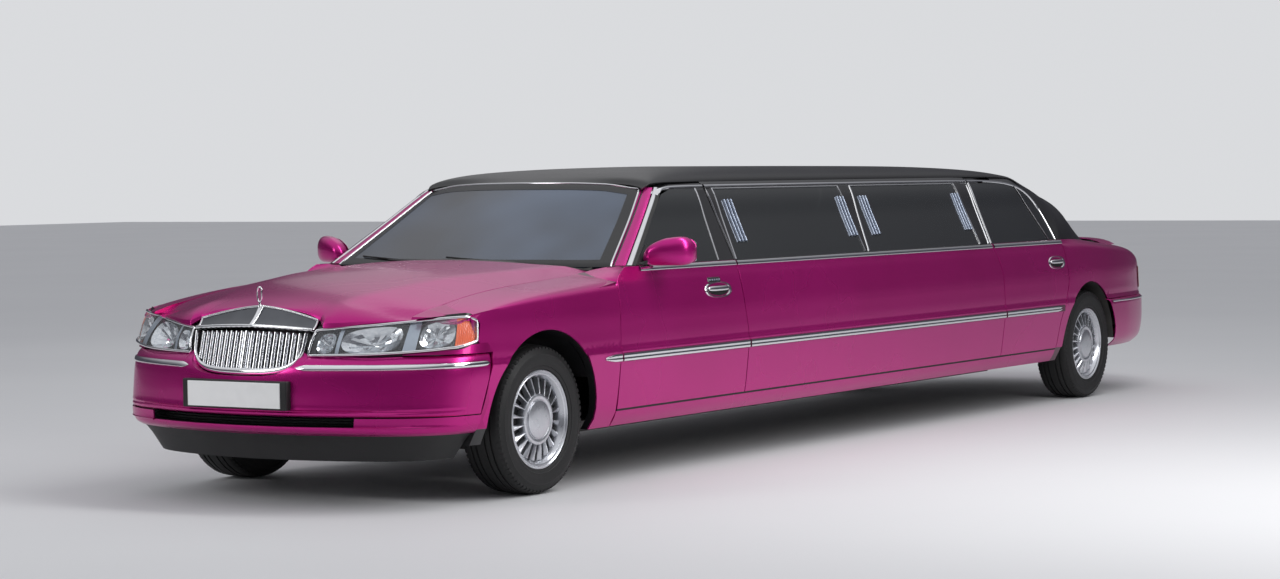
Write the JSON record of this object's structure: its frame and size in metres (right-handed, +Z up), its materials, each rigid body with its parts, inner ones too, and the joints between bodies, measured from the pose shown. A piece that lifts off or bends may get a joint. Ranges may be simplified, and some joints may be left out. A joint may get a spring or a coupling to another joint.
{
  "type": "stretch limousine",
  "caption": "Long stretched saloon with a hollow cabin, opening doors, bonnet and boot lid, steered front wheels and free-turning wheels.",
  "frame": {"origin": "on the ground under the middle of the car's length and width", "axes": "+X to the car's left, +Y to its rear, +Z up"},
  "size_m": [2.264, 8.5168, 1.4729],
  "materials": {
    "paint": "gloss metallic",
    "vinyl": "grained black vinyl",
    "glass": "dark tint",
    "chrome": "polished",
    "lamp": "clear lens",
    "tyre": "matt",
    "alloy": "satin silver",
    "steel": "matt black",
    "cast": "cast",
    "trim": "grained",
    "leather": "soft leather"
  },
  "bodies": {
    "car": {"dashboard": "trim", "engine": "cast", "exhaust": "steel", "floor": "steel", "front_bumper": "paint", "front_seat": "leather", "front_suspension": "steel", "front_wing_left": "paint", "front_wing_right": "paint", "grille": "chrome", "headlamp_left": "lamp", "headlamp_right": "lamp", "lounge_seat": "leather", "rear_axle": "steel", "rear_bumper": "paint", "rear_quarter_left": "paint", "rear_quarter_right": "paint", "rear_window": "glass", "roof": "vinyl", "side_glass_left": "glass", "side_glass_right": "glass", "side_panel_left": "paint", "side_panel_right": "paint", "tail_lamp_left": "lamp", "tail_lamp_right": "lamp", "windscreen": "glass"},
    "front_left_door": {"front_door_left": "paint", "front_door_glass_left": "glass", "door_mirror_left": "paint"},
    "front_right_door": {"front_door_right": "paint", "front_door_glass_right": "glass", "door_mirror_right": "paint"},
    "rear_left_door": {"rear_door_left": "paint", "rear_door_glass_left": "glass"},
    "rear_right_door": {"rear_door_right": "paint", "rear_door_glass_right": "glass"},
    "bonnet_lid": {"bonnet": "paint"},
    "boot_lid_body": {"boot_lid": "paint"},
    "left_knuckle": {"knuckle_left": "steel"},
    "right_knuckle": {"knuckle_right": "steel"},
    "front_left_wheel": {"front_wheel_left": "alloy", "front_tyre_left": "tyre"},
    "front_right_wheel": {"front_wheel_right": "alloy", "front_tyre_right": "tyre"},
    "rear_left_wheel": {"rear_wheel_left": "alloy", "rear_tyre_left": "tyre"},
    "rear_right_wheel": {"rear_wheel_right": "alloy", "rear_tyre_right": "tyre"}
  },
  "joints": [
    {"name": "steer_left", "type": "hinge", "parent": "car", "child": "left_knuckle", "pos_m": [0.74, -3.2185, 0.338], "axis": [0, 0, 1], "range_deg": [-35, 35]},
    {"name": "steer_right", "type": "hinge", "parent": "car", "child": "right_knuckle", "pos_m": [-0.74, -3.2185, 0.338], "axis": [0, 0, 1], "range_deg": [-35, 35]},
    {"name": "spin_front_left", "type": "hinge", "parent": "left_knuckle", "child": "front_left_wheel", "pos_m": [0.804, -3.2185, 0.338], "axis": [1, 0, 0], "continuous": true},
    {"name": "spin_front_right", "type": "hinge", "parent": "right_knuckle", "child": "front_right_wheel", "pos_m": [-0.804, -3.2185, 0.338], "axis": [1, 0, 0], "continuous": true},
    {"name": "spin_rear_left", "type": "hinge", "parent": "car", "child": "rear_left_wheel", "pos_m": [0.82, 2.8195, 0.338], "axis": [1, 0, 0], "continuous": true},
    {"name": "spin_rear_right", "type": "hinge", "parent": "car", "child": "rear_right_wheel", "pos_m": [-0.82, 2.8195, 0.338], "axis": [1, 0, 0], "continuous": true},
    {"name": "open_front_left_door", "type": "hinge", "parent": "car", "child": "front_left_door", "pos_m": [0.996, -2.6645, 0.6], "axis": [0, 0, -1], "range_deg": [0, 68]},
    {"name": "open_front_right_door", "type": "hinge", "parent": "car", "child": "front_right_door", "pos_m": [-0.996, -2.6645, 0.6], "axis": [0, 0, 1], "range_deg": [0, 68]},
    {"name": "open_rear_left_door", "type": "hinge", "parent": "car", "child": "rear_left_door", "pos_m": [0.996, 1.4875, 0.6], "axis": [0, 0, -1], "range_deg": [0, 68]},
    {"name": "open_rear_right_door", "type": "hinge", "parent": "car", "child": "rear_right_door", "pos_m": [-0.996, 1.4875, 0.6], "axis": [0, 0, 1], "range_deg": [0, 68]},
    {"name": "open_bonnet", "type": "hinge", "parent": "car", "child": "bonnet_lid", "pos_m": [0, -2.5285, 1.014], "axis": [-1, 0, 0], "range_deg": [0, 50]},
    {"name": "open_boot", "type": "hinge", "parent": "car", "child": "boot_lid_body", "pos_m": [0, 3.7615, 1.002], "axis": [1, 0, 0], "range_deg": [0, 75]}
  ],
  "couplings": [
    {"joint": "steer_right", "follows": "steer_left", "ratio": 1}
  ]
}
